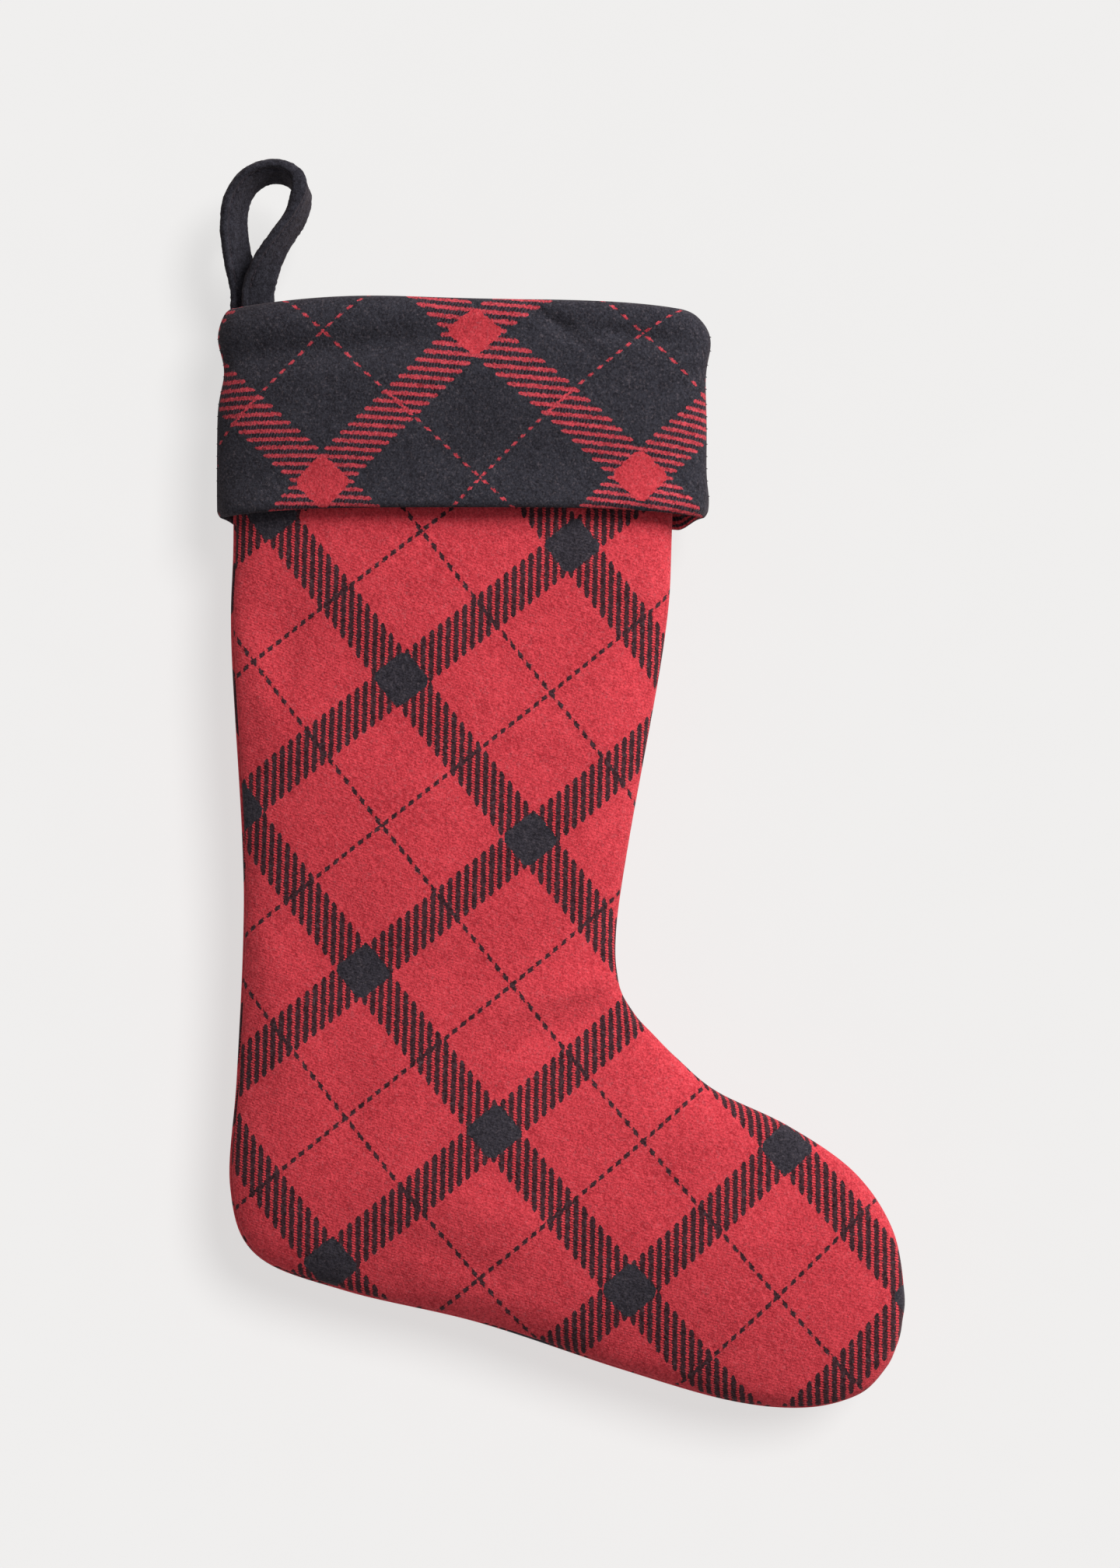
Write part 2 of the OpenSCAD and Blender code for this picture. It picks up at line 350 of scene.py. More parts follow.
def settled(rows):
    """Lets a coarse bag of slightly roomy felt settle, held at its mouth and its seams.

    Returns the moves from the drawn bag, by row of the fine grid and by column of the
    coarse one, with its first column again at the end.
    """
    picked = np.linspace(0, len(rows) - 1, SETTLE_ROWS).round().astype(int)
    degrees = np.arange(0, 360, SETTLE_STEP)
    drawn = bag_grid(rows[picked], degrees)
    count, around = drawn.shape[:2]
    obj = add_mesh("settling", drawn.reshape(-1, 3), quads(count, around, close_columns=True))
    held = [r * around + c for r in range(count) for c in range(around)
            if r < 2 or r > count - 4 or degrees[c] % 180 == 0]
    pins = obj.vertex_groups.new(name="held")
    pins.add(list(range(count * around)), SETTLE_HOLD, "REPLACE")
    pins.add(held, 1.0, "REPLACE")
    cloth = obj.modifiers.new("cloth", "CLOTH")
    felt = cloth.settings
    felt.quality = 6
    felt.mass = 0.2
    felt.air_damping = 3
    felt.tension_stiffness = felt.compression_stiffness = 18
    felt.shear_stiffness = 8
    felt.bending_stiffness = 12
    felt.shrink_min = -0.015
    felt.vertex_group_mass = "held"
    felt.effector_weights.gravity = 0.2
    cloth.collision_settings.use_collision = False
    cloth.point_cache.frame_start = 1
    cloth.point_cache.frame_end = SETTLE_FRAMES
    for number in range(1, SETTLE_FRAMES + 1):
        bpy.context.scene.frame_set(number)
    seen = obj.evaluated_get(bpy.context.evaluated_depsgraph_get()).data
    flat = np.zeros(len(seen.vertices) * 3, np.float32)
    seen.vertices.foreach_get("co", flat)
    bpy.context.scene.frame_set(1)
    bpy.data.objects.remove(obj)
    move = flat.reshape(count, around, 3) / MM - drawn
    move = SETTLE_CAP * np.tanh(move / SETTLE_SOFT) * (0.4, 1, 0.4)
    off_seam = np.clip(np.abs(np.sin(np.radians(degrees))) / 0.5, 0, 1) ** 1.5
    move *= off_seam[:, None]
    move = np.concatenate([move, move[:, :1]], 1)
    out = np.zeros((len(rows), around + 1, 3))
    for c in range(around + 1):
        for axis in range(3):
            out[:, c, axis] = np.interp(np.arange(len(rows)), picked, move[:, c, axis])
    return out


def moved(grid, moves, degrees):
    """The grid with the settled cloth's moves, read off at the grid's own angles."""
    at = np.mod(degrees, 360) / SETTLE_STEP
    low = np.floor(at).astype(int)
    high = np.minimum(low + 1, moves.shape[1] - 1)
    part = (at - low)[None, :, None]
    return grid + moves[:, low] * (1 - part) + moves[:, high] * part


def flat_places(rows, grid, column):
    """Where each point of the bag lies on its flat cut: chord place plus the extra cloth."""
    direction = rows[:, 2:4] - rows[:, :2]
    direction = direction / np.maximum(np.linalg.norm(direction, axis=1, keepdims=True), 1e-9)
    start = grid[:, column][:, [0, 2]]
    return start[:, None] + direction[:, None] * arc_from(grid, column)[..., None]


def outward(grid, side):
    """The grid's normals, pointing out of the bag; side is -1 for the front."""
    n = grid_normals(grid)
    flip = np.sign((n[..., 1] * side).sum())
    n = n * flip
    n[-1] = n[-2]
    return n


def panel(name, side, rows, moves):
    """The front (side -1) or back (side 1) felt panel of the leg and foot."""
    start = HEEL_SEAM_DEG + (360 if side > 0 else 0)
    degrees = np.linspace(start, 180 + INSTEP_SEAM_DEG, PANEL_COLUMNS)
    grid = bag_grid(rows, degrees)
    if moves is not None:
        grid = moved(grid, moves, degrees)
    relief = BACK_RELIEF if side > 0 else FRONT_RELIEF
    flat = flat_places(rows, grid, middle_column(degrees))
    n = outward(grid, side)
    swell = relief_at(relief, grid[..., 0], grid[..., 2]) * np.abs(n[..., 1])
    grid = grid + n * (swell - seam_groove(grid))[..., None]
    n = outward(grid, side)
    if side > 0:
        flat = flat * [-1, 1] + BACK_PLAID_SHIFT
    obj = closed_cloth(name, grid, n, FELT_T - 0.1, lattice_at(LEG_PLAID, flat))
    return obj, grid, n


def lining(name, grid, n):
    """The thin cotton that lies inside one felt panel, on every other point of its grid."""
    inset = grid - n * (FELT_T + LINING_GAP)
    keep = slice(2, -8, 2)
    inset, n = inset[keep, 4:-4:2], n[keep, 4:-4:2]
    lattice = np.stack([inset[..., 0], inset[..., 2]], -1) / 10
    return closed_cloth(name, inset, n, LINING_T, lattice)


# ---------------------------------------------------------------- cuff

CUFF_X = 86.0
CUFF_A = 112.0
CUFF_B = 21.0
CORNER_DROOP = 4.0
HEM_Z = RIM_Z - 95.0
MOUTH_X = 82.5
MOUTH_A = 97.0
MOUTH_B = 9.6
CUFF_HEEL_SEAM_DEG = 7.0
CUFF_INSTEP_SEAM_DEG = -4.0

# The cuff's cross-section: centre x, half width, half depth, z. Up the outside from the
# hem, over the rim, down inside the mouth and back up under itself to the hem.
CUFF = [
    [CUFF_X, CUFF_A - 1.6, CUFF_B - 1.4, HEM_Z - 0.3],
    [CUFF_X, CUFF_A - 0.4, CUFF_B - 0.3, HEM_Z + 1.5],
    [CUFF_X, CUFF_A, CUFF_B, HEM_Z + 5],
    [CUFF_X, CUFF_A, CUFF_B, HEM_Z + 30],
    [CUFF_X, CUFF_A - 0.5, CUFF_B, RIM_Z - 32],
    [CUFF_X - 0.5, CUFF_A - 2, CUFF_B - 1.5, RIM_Z - 12],
    [CUFF_X - 1.2, CUFF_A - 4.2, CUFF_B - 3.6, RIM_Z - 4],
    [CUFF_X - 2, CUFF_A - 7.5, CUFF_B - 6.4, RIM_Z - 0.6],
    [CUFF_X - 2.7, CUFF_A - 11, CUFF_B - 9, RIM_Z - 0.3],
    [MOUTH_X, MOUTH_A - 0.5, MOUTH_B - 0.6, RIM_Z - 4],
    [MOUTH_X, MOUTH_A - 2.2, MOUTH_B - 2.2, RIM_Z - 12],
    [MOUTH_X, MOUTH_A - 2.2, MOUTH_B - 2.2, RIM_Z - 25],
    [MOUTH_X, MOUTH_A, MOUTH_B, RIM_Z - 25],
    [MOUTH_X, MOUTH_A, MOUTH_B, RIM_Z - 9],
    [MOUTH_X + 0.6, MOUTH_A + 3.4, MOUTH_B + 3, RIM_Z - 4],
    [CUFF_X - 2, CUFF_A - 9.6, CUFF_B - 8, RIM_Z - 4.2],
    [CUFF_X - 1, CUFF_A - 7, CUFF_B - 6, RIM_Z - 9],
    [CUFF_X, CUFF_A - 5.4, CUFF_B - 5, RIM_Z - 32],
    [CUFF_X, CUFF_A - 4.8, CUFF_B - 4.8, HEM_Z + 30],
    [CUFF_X, CUFF_A - 4.8, CUFF_B - 4.8, HEM_Z + 5],
    [CUFF_X, CUFF_A - 4.2, CUFF_B - 4.2, HEM_Z + 1.2],
    [CUFF_X, CUFF_A - 3, CUFF_B - 3, HEM_Z - 0.3]]

# Soft dents and swells of the cuff, as in FRONT_RELIEF, before CUFF_RELIEF_SCALE
CUFF_RELIEF_SCALE = 2.0
CUFF_FRONT_RELIEF = [
    (-6, -66, 26, 8, 3, 1.0),
    (26, -77, 58, 7, 5, -1.9),
    (130, -66, 18, 3.6, -34, -1.3),
    (166, -71, 28, 4.5, -8, -1.6),
    (180, -60, 22, 4, -6, 0.8),
    (120, -104, 50, 16, -12, 0.9),
    (30, -120, 40, 14, 12, 0.8),
    (86, -118, 14, 26, -30, -0.7),
    (160, -128, 30, 12, 10, -0.8),
    (90, -138, 50, 8, 0, 0.7)]
CUFF_BACK_RELIEF = [
    (30, -90, 50, 12, -6, -1.0),
    (120, -110, 50, 14, 8, 0.9)]

# How the cuff's two ends are drawn in (along +x): amount, z, reach along z
HEEL_END = [(2.6, -87, 11), (-1.3, -71, 8)]
TOE_END = [(4.4, -71, 12), (0.5, -112, 22), (1.4, -146, 9)]

# The rim rises a little: amount, x, reach along x
FRONT_RIM_LIFT = 1.8, 40, 42
BACK_RIM_LIFT = 3.2, 56, 56
FRONT_HEM_FLARE = 2.6   # how far the front's hem stands off the leg
BACK_HEM_DROP = 6.5     # how much lower the back's hem hangs in its middle
BACK_HEM_SPAN = 99, 12  # half the width of that lower part, and how fast it then rises
SEWN_DEG = 8            # how far round from a side seam the flare is held back
OUTER_SHARE = 0.45      # of the section's rows, how many go up the outside


def bell(t, middle, reach):
    """A smooth hump of height 1."""
    return np.exp(-((t - middle) / reach) ** 2)


def cuff_half(name, side):
    """One half of the cuff, as a closed tube whose section is the doubled cloth."""
    keys = CUFF + CUFF[:1]
    profile = even_rows(smooth_keys(keys, 16), [2, 3], CUFF_ROWS)[:-1]
    start = CUFF_HEEL_SEAM_DEG + (360 if side > 0 else 0)
    degrees = np.linspace(start, 180 + CUFF_INSTEP_SEAM_DEG, CUFF_COLUMNS)
    angle = np.radians(degrees)
    column = middle_column(degrees)
    x = profile[:, :1] - profile[:, 1:2] * np.cos(angle)
    y = -profile[:, 2:3] * lens(angle)
    z = profile[:, 3:4] - CORNER_DROOP * np.cos(angle) ** 4
    lift, lift_x, reach = FRONT_RIM_LIFT if side < 0 else BACK_RIM_LIFT
    near_rim = 1 / (1 + np.exp((RIM_Z - 22 - profile[:, 3:4]) / 4))
    z = z + lift * near_rim * bell(x, lift_x, reach)
    for draws, facing in ((HEEL_END, np.cos(angle)), (TOE_END, -np.cos(angle))):
        near_end = np.clip(facing, 0, 1) ** 3
        x = x + near_end * sum(amount * bell(z, at, reach) for amount, at, reach in draws)
    relief = CUFF_FRONT_RELIEF if side < 0 else CUFF_BACK_RELIEF
    swell = CUFF_RELIEF_SCALE * relief_at(relief, x, z) * np.abs(np.sin(angle)) ** 0.5
    if side < 0:
        # the hem stands off the leg, except where the two halves are sewn together
        sewn = sum(bell(degrees, degrees[end], SEWN_DEG) for end in (0, -1))
        swell = swell + FRONT_HEM_FLARE * bell(z, HEM_Z - 1, 9) * (1 - sewn)
    else:
        # the back half's hem hangs lower, and meets the front's at the two corners
        half, rise = BACK_HEM_SPAN
        corner = np.clip((np.abs(x - CUFF_X) - half) / rise, 0, 1)
        inward = 1 - corner ** 2 * (3 - 2 * corner)
        z = z - BACK_HEM_DROP * bell(z, HEM_Z, 26) * inward
    y = y - np.sign(np.sin(angle) + 1e-9) * swell
    grid = np.stack([x, y, z], -1)
    count, across = grid.shape[:2]
    # the cloth's own length up the outside of the cuff, from the hem
    step = np.linalg.norm(np.diff(profile[:, 2:4], axis=0), axis=1)
    up = HEM_Z + np.concatenate([[0], np.cumsum(step)])
    under = count - int(OUTER_SHARE * count)
    up[under:] = HEM_Z - np.cumsum(step[::-1])[::-1][under - 1:]
    along = grid[:, column, 0][:, None] + arc_from(grid, column)
    flat = np.stack([along, np.repeat(up[:, None], across, 1)], -1)
    if side < 0:        # the plaid is pulled a little to the heel side at the rim's middle
        flat[..., 0] += 4 * bell(x, 94, 40) * bell(z, RIM_Z - 10, 26)
    faces = [*quads(count, across, close_rows=True)]
    faces.append(list(range(0, count * across, across)))
    faces.append(list(range(across - 1, count * across, across)))
    obj = add_mesh(name, grid.reshape(-1, 3), faces, lattice_at(CUFF_PLAID, flat).reshape(-1, 3))
    fix_normals(obj)
    return obj, grid


# ---------------------------------------------------------------- strap

def strap_path(keys, count):
    """Rows along the strap, and the directions across and through it at each."""
    rows = smooth_keys(keys, 24)
    rows = even_rows(rows, [0, 1, 2], count)
    along = np.gradient(rows[:, :3], axis=0)
    along /= np.linalg.norm(along, axis=1, keepdims=True)
    inside = np.stack([along[:, 2], np.zeros(count), -along[:, 0]], 1)
    inside /= np.linalg.norm(inside, axis=1, keepdims=True)
    turn = np.radians(rows[:, 3:4])
    across = np.cos(turn) * [0, 1, 0] + np.sin(turn) * inside
    across -= (across * along).sum(1, keepdims=True) * along
    across /= np.linalg.norm(across, axis=1, keepdims=True)
    return rows, across, np.cross(along, across)


GROOVE_IN = 3.2         # from the strap's near edge to the stitched groove
GROOVE_DEEP = 0.55
EDGE_ROUND = 1.4
FELT_BUMPS, FELT_BUMP_SIZE = 0.3, 1.7


def strap_section(thickness):
    """Half of the strap's section is (across, through) from edge to edge; both are made."""
    quarter = np.linspace(0, math.pi / 2, 5)
    far = STRAP_W - EDGE_ROUND
    u = np.concatenate([EDGE_ROUND * (1 - np.cos(quarter[:-1])),
                        np.linspace(EDGE_ROUND, far, 21),
                        far + EDGE_ROUND * np.sin(quarter[1:])])
    edge = np.minimum(u, STRAP_W - u)
    rise = np.sqrt(np.clip(1 - (1 - np.clip(edge / 1.6, 0, 1)) ** 2, 0, 1))
    groove = GROOVE_DEEP * bell(u, GROOVE_IN, 0.55)
    return u - STRAP_W / 2, (thickness / 2 - groove) * rise


def bobbled(grid):
    """Pushes each point of a closed tube's grid in or out by smooth noise, like rough felt."""
    out = grid.copy()
    middle = grid.mean(1)
    for k, ring in enumerate(grid):
        for m, p in enumerate(ring):
            at = Vector(p) / FELT_BUMP_SIZE
            v = noise.noise(at) + 0.5 * noise.noise(at * 2.1)
            away = p - middle[k]
            out[k, m] = p + away / max(np.linalg.norm(away), 1e-6) * v * FELT_BUMPS
    return out


def strap(name):
    """The whole folded strap with both sewn-in ends, as one closed tube."""
    rows, across, through = strap_path(STRAP, STRAP_ROWS)
    points = []
    for r, a, t in zip(rows, across, through):
        u, half = strap_section(r[4])
        ring = np.concatenate([np.stack([u, half], 1), np.stack([u, -half], 1)[-2:0:-1]])
        points.append(r[:3] + ring[:, :1] * a + ring[:, 1:] * t)
    grid = bobbled(np.array(points))
    count, sides = grid.shape[:2]
    faces = [*quads(count, sides, close_columns=True), list(range(sides)),
             list(range((count - 1) * sides, count * sides))]
    step = np.linalg.norm(np.diff(rows[:, :3], axis=0), axis=1)
    run = np.concatenate([[0], np.cumsum(step)])
    place = np.linspace(0, 36, sides)
    lattice = np.stack(np.broadcast_arrays(run[:, None], place[None]), -1) / 10
    obj = add_mesh(name, grid.reshape(-1, 3), faces, lattice.reshape(-1, 2))
    fix_normals(obj)
    return obj


def capsule_run(name, stitches, radius):
    """Stitches as bowed threads: each is (start, end, up), with its ends sunk in the cloth."""
    sides, rings = 8, 7
    points, faces = [], []
    for start, end, up in stitches:
        start, end, up = map(np.array, (start, end, up))
        along = (end - start) / np.linalg.norm(end - start)
        side = np.cross(along, up)
        base = len(points)
        for k in range(rings):
            t = k / (rings - 1)
            middle = start + (end - start) * t + up * radius * (1.5 * math.sin(math.pi * t) - 0.6)
            r = radius * (0.55 + 0.45 * math.sin(math.pi * t) ** 0.5)
            for a in np.linspace(0, 2 * math.pi, sides, endpoint=False):
                points.append(middle + side * math.cos(a) * r + up * math.sin(a) * r)
        faces += [list(f) for f in quads(rings, sides, close_columns=True, offset=base)]
        faces.append(list(range(base, base + sides)))
        faces.append(list(range(base + (rings - 1) * sides, base + rings * sides)))
    obj = add_mesh(name, points, faces)
    fix_normals(obj)
    return obj


def side_stitches(name, grid):
    """Small stitches across the cuff's two side seams, from the hem to below the rim."""
    pitch, long = 6.0, 3.2
    outside = grid[:int(OUTER_SHARE * len(grid))]
    stitches = []
    for edge, inner in ((outside[:, 0], outside[:, 6]), (outside[:, -1], outside[:, -7])):
        for z in np.arange(HEM_Z + 6, RIM_Z - 16, pitch):
            k = int(np.abs(edge[:, 2] - z).argmin())
            across = (edge[k] - inner[k]) / np.linalg.norm(edge[k] - inner[k])
            rise = outside[k + 2, 0] - outside[k, 0]
            up = np.cross(across, rise / np.linalg.norm(rise))
            up *= np.sign(up[0] * (edge[k, 0] - CUFF_X))
            stitches.append((edge[k] - across * long / 2, edge[k] + across * long / 2, up))
    return capsule_run(name, stitches, 0.22)


def strap_stitches(name):
    """The row of stitches that lies in the strap's groove, on both of its faces."""
    free = STRAP[3:-3]
    rows, across, through = strap_path(free, STRAP_ROWS // 2)
    step = np.linalg.norm(np.diff(rows[:, :3], axis=0), axis=1)
    run = np.concatenate([[0], np.cumsum(step)])
    stitches = []
    pitch, long = 3.0, 2.3
    for s in np.arange(1.5, run[-1] - 1.5 - long, pitch):
        for face in (-1, 1):
            ends = []
            for t in (s, s + long):
                k = int(np.searchsorted(run, t))
                edge = rows[k, :3] - across[k] * (STRAP_W / 2 - GROOVE_IN)
                ends.append(edge + face * through[k] * (rows[k, 4] / 2 - GROOVE_DEEP))
            stitches.append((ends[0], ends[1], face * through[int(np.searchsorted(run, s))]))
    return capsule_run(name, stitches, 0.28)


# ---------------------------------------------------------------- materials

class Nodes:
    """Short names for building a material's node tree."""

    def __init__(self, material):
        material.use_nodes = True
        self.tree = material.node_tree
        self.tree.nodes.clear()

    def add(self, kind, **settings):
        node = self.tree.nodes.new("ShaderNode" + kind)
        for key, value in settings.items():
            setattr(node, key, value)
        return node

    def link(self, source, socket):
        self.tree.links.new(source, socket)

    def feed(self, node, values):
        for key, value in values.items():
            socket = node.inputs[key]
            if isinstance(value, bpy.types.NodeSocket):
                self.link(value, socket)
            else:
                socket.default_value = value
        return node

    def math(self, operation, a, b=0.0, c=0.0):
        node = self.add("Math", operation=operation)
        self.feed(node, {0: a, 1: b, 2: c})
        return node.outputs[0]

    def mix(self, factor, a, b):
        node = self.add("Mix", data_type="RGBA")
        self.feed(node, {0: factor, 6: a, 7: b})
        return node.outputs[2]

    def step(self, value, low, high):
        """0 below low, 1 above high, and smooth between them."""
        node = self.add("MapRange", interpolation_type="SMOOTHSTEP")
        self.feed(node, {"Value": value, "From Min": low, "From Max": high})
        return node.outputs["Result"]

    def noise(self, vector, scale, detail=2.0, roughness=0.5):
        node = self.add("TexNoise")
        self.feed(node, {"Vector": vector, "Scale": scale, "Detail": detail,
                         "Roughness": roughness})
        return node.outputs["Fac"]

    def brushed(self, vector, degrees, long):
        """The place turned in the picture's plane and drawn out, for a nap brushed one way."""
        node = self.add("Mapping", vector_type="TEXTURE")
        self.feed(node, {"Vector": vector, "Rotation": (0, math.radians(degrees), 0),
                         "Scale": (1, 1, long)})
        return node.outputs["Vector"]


def off_line(n, t):
    """How far t is from the nearest whole number."""
    return n.math("ABSOLUTE", n.math("SUBTRACT", t, n.math("ROUND", t)))


def plaid_mask(n, at, per_stroke, line_w, bead_pitch, stroke_w, square_w):
    """The woven figure: where its yarn shows, the solid crossings, the bands, the beads.

    per_stroke is how i and j change in one twill stroke, and bead_pitch how many small
    beads of yarn lie along one period of each.
    """
    xyz = n.add("SeparateXYZ")
    n.link(n.add("UVMap", uv_map="plaid").outputs[0], xyz.inputs[0])
    twill = n.add("SeparateXYZ")
    n.link(n.add("UVMap", uv_map="twill").outputs[0], twill.inputs[0])
    count = twill.outputs[0]
    run = n.math("SUBTRACT", *[n.math("MULTIPLY", xyz.outputs[k], bead_pitch[k])
                               for k in (0, 1)])
    bead = n.math("SINE", n.math("MULTIPLY", n.math("ADD", run, count), 2 * math.pi))
    rough = n.math("SUBTRACT", n.noise(at, 1100.0, 1.0), 0.5)
    within = n.math("SUBTRACT", n.math("FRACT", count), 0.5)
    ragged = n.math("MULTIPLY_ADD", rough, 0.5, n.math("MULTIPLY", bead, 0.025))
    stroke = n.step(n.math("ADD", n.math("ABSOLUTE", within), ragged),
                    stroke_w / 2 + 0.06, stroke_w / 2 - 0.06)
    half_band = n.math("MULTIPLY_ADD", n.math("MULTIPLY", within, within), -0.11, BAND_W / 2)
    offs, bands, lines, crossings = [], [], [], []
    for k, change in enumerate(per_stroke):
        t = n.math("ADD", xyz.outputs[k], n.math("MULTIPLY", rough, 0.012 - 0.016 * k))
        scallop = n.math("SUBTRACT", t, n.math("MULTIPLY", within, change * 0.15))
        blunt = n.math("SUBTRACT", t, n.math("MULTIPLY", within, change * 0.6))
        slanted = n.math("SUBTRACT", t, n.math("MULTIPLY", within, change * 0.2))
        offs.append(off_line(n, scallop))
        bands.append(n.math("LESS_THAN", off_line(n, blunt), half_band))
        thin = off_line(n, n.math("ADD", slanted, 0.5))
        lines.append(n.math("LESS_THAN", thin, line_w / 2))
        crossings.append(n.math("LESS_THAN", thin, line_w * 0.55))
    square = n.math("MULTIPLY", *[n.math("LESS_THAN", off, square_w / 2) for off in offs])
    square = n.math("MULTIPLY", square, n.math("LESS_THAN", n.math("ADD", *offs), square_w * 0.88))
    in_band = n.math("MAXIMUM", *bands)
    in_line = n.math("MAXIMUM", *lines)
    dot = n.math("MULTIPLY", n.math("MAXIMUM", *crossings), n.math("MAXIMUM", in_band,
                 n.math("MULTIPLY", *crossings)))
    mask = n.math("MULTIPLY", n.math("MAXIMUM", in_band, in_line), stroke)
    mask = n.math("MAXIMUM", n.math("MAXIMUM", square, dot), mask)
    return mask, square, in_band, bead


def felt_surface(n, colour, height, bump, rough=0.95, sheen=0.07):
    """Ends a material in a matt cloth shader with a fine bump."""
    shader = n.add("BsdfPrincipled")
    bump_node = n.feed(n.add("Bump"), {"Height": height, "Strength": bump, "Distance": 0.0006})
    n.feed(shader, {"Base Color": colour, "Roughness": rough, "Sheen Weight": sheen,
                    "Sheen Roughness": 0.6, "Sheen Tint": (1, 0.75, 0.75, 1),
                    "Specular IOR Level": 0.08, "Normal": bump_node.outputs[0]})
    out = n.add("OutputMaterial")
    n.link(shader.outputs[0], out.inputs["Surface"])


def place(n):
    """The point on the surface, in metres, the same in every view."""
    return n.add("TexCoord").outputs["Object"]


def plaid_felt(name, ground, figure, gap, stroke, pattern):
    """Brushed double cloth with the plaid woven in.

    Each colour is a dark and a light one: the plain ground, the solid crossings, the ground
    that shows between the strokes of a band, and the strokes.
    """
    material = bpy.data.materials.new(name)
    n = Nodes(material)
    at = place(n)
    mask, square, in_band, bead = plaid_mask(n, at, *pattern)
    speck = n.noise(at, 1000.0, 2.0, 0.8)
    mottle = n.noise(n.brushed(at, -35, 2.4), 420.0, 3.0, 0.6)
    cloud = n.noise(at, 40.0, 2.0)
    in_gap = n.math("MULTIPLY", in_band, n.math("SUBTRACT", 1.0, mask))
    tone = n.math("MULTIPLY_ADD", speck, 0.80, n.math("MULTIPLY", mottle, 0.27))
    tone = n.math("MULTIPLY_ADD", cloud, 0.10, tone)
    # painted highlight and shade along the beads of the twisted yarn in the bands, strongest in
    # the ground between strokes; the same beads also feed the bump
    bead = n.math("MULTIPLY", bead, n.math("MULTIPLY_ADD", in_gap, 0.11, 0.03))
    tone = n.math("ADD", tone, n.math("MULTIPLY", bead, n.math("SUBTRACT", in_band, square)))
    light = n.step(tone, 0.36, 0.82)
    colours = [n.mix(light, *pair) for pair in (ground, gap, stroke, figure)]
    colour = n.mix(in_band, colours[0], colours[1])
    colour = n.mix(mask, colour, n.mix(square, colours[2], colours[3]))
    lint = n.step(n.noise(at, 760.0, 2.0, 0.6), 0.52, 0.76)
    colour = n.mix(n.math("MULTIPLY", lint, 0.09), colour, LINT)
    height = n.math("MULTIPLY_ADD", speck, 0.7, n.math("MULTIPLY", mottle, 0.5))
    height = n.math("MULTIPLY_ADD", bead, 1.5, height)
    felt_surface(n, colour, height, bump=0.8)
    return material


def plain_felt(name, dark, light):
    """Brushed felt of one colour."""
    material = bpy.data.materials.new(name)
    n = Nodes(material)
    at = place(n)
    speck = n.noise(at, 1300.0, 2.0, 0.7)
    mottle = n.noise(at, 380.0, 3.0, 0.6)
    tone = n.math("ADD", n.math("MULTIPLY", speck, 0.9), n.math("MULTIPLY", mottle, 0.6))
    colour = n.mix(n.step(tone, 0.5, 1.1), dark, light)
    felt_surface(n, colour, tone, bump=0.7)
    return material


THREADS_PER_CM = 14


def woven_cotton(name, dark, light):
    """Plain weave of the lining, from its own flat place in centimetres."""
    material = bpy.data.materials.new(name)
    n = Nodes(material)
    uv = n.add("UVMap", uv_map="plaid").outputs[0]
    xyz = n.add("SeparateXYZ")
    n.link(uv, xyz.inputs[0])
    turns = 2 * math.pi * THREADS_PER_CM
    warp = n.math("SINE", n.math("MULTIPLY", xyz.outputs[0], turns))
    weft = n.math("SINE", n.math("MULTIPLY", xyz.outputs[1], turns))
    weave = n.math("MULTIPLY", warp, weft)
    fine = n.noise(place(n), 900.0, 2.0)
    tone = n.math("ADD", n.math("MULTIPLY", weave, 0.25), fine)
    colour = n.mix(n.step(tone, 0.2, 0.8), dark, light)
    felt_surface(n, colour, tone, bump=0.4, rough=0.85, sheen=0.1)
    return material


def spun_thread(name, dark, light):
    """Twisted thread: fine slanted stripes across its length."""
    material = bpy.data.materials.new(name)
    n = Nodes(material)
    at = place(n)
    wave = n.feed(n.add("TexWave", bands_direction="DIAGONAL"),
                  {"Vector": at, "Scale": 900.0, "Distortion": 2.0})
    colour = n.mix(wave.outputs["Fac"], dark, light)
    felt_surface(n, colour, wave.outputs["Fac"], bump=0.3, rough=0.7, sheen=0.1)
    return material


def rgb(r, g, b):
    """A colour from its 0 to 255 screen values."""
    return tuple((c / 255) ** 2.2 for c in (r, g, b)) + (1.0,)


RED = rgb(150, 38, 47), rgb(219, 73, 82)
RED_GAP = rgb(126, 28, 36), rgb(218, 72, 81)
RED_SQUARE = rgb(140, 36, 44), rgb(198, 66, 74)
RED_STROKE = rgb(112, 32, 40), rgb(204, 74, 84)
INK = INK_DARK, INK_LIGHT = rgb(25, 25, 30), rgb(56, 56, 63)
LEG_INK = rgb(29, 28, 33), rgb(62, 59, 66)
INK_GAP = rgb(26, 16, 21), rgb(68, 54, 62)
# the leg's strokes: their own dark yarn with a few red fibres, made darker with painted shade in
# the twill
SHADED_INK_STROKE = rgb(32, 16, 20), rgb(76, 48, 54)
LINT = rgb(176, 158, 163)   # loose pale fibres on both cloths

# Changes of i and j in one stroke, width of a thin line in periods, beads of yarn in one
# period, how much of its pitch a stroke fills, and the side of a solid crossing in periods
LEG_TWILL = (0.0292, 0.0277), 0.0185, (51, 60), 0.64, 0.202
CUFF_TWILL = (-0.0293, 0.0259), 0.0125, (51, -51), 0.45, 0.186

leg_felt = plaid_felt("leg_felt", RED, LEG_INK, RED_GAP, SHADED_INK_STROKE, LEG_TWILL)
cuff_felt = plaid_felt("cuff_felt", INK, RED_SQUARE, INK_GAP, RED_STROKE, CUFF_TWILL)
strap_felt = plain_felt("strap_felt", INK_DARK, INK_LIGHT)
lining_cotton = woven_cotton("lining_cotton", rgb(84, 20, 26), rgb(128, 40, 46))
dark_thread = spun_thread("dark_thread", rgb(22, 20, 26), rgb(60, 56, 64))
red_thread = spun_thread("red_thread", rgb(120, 24, 32), rgb(170, 50, 58))


# ---------------------------------------------------------------- pieces

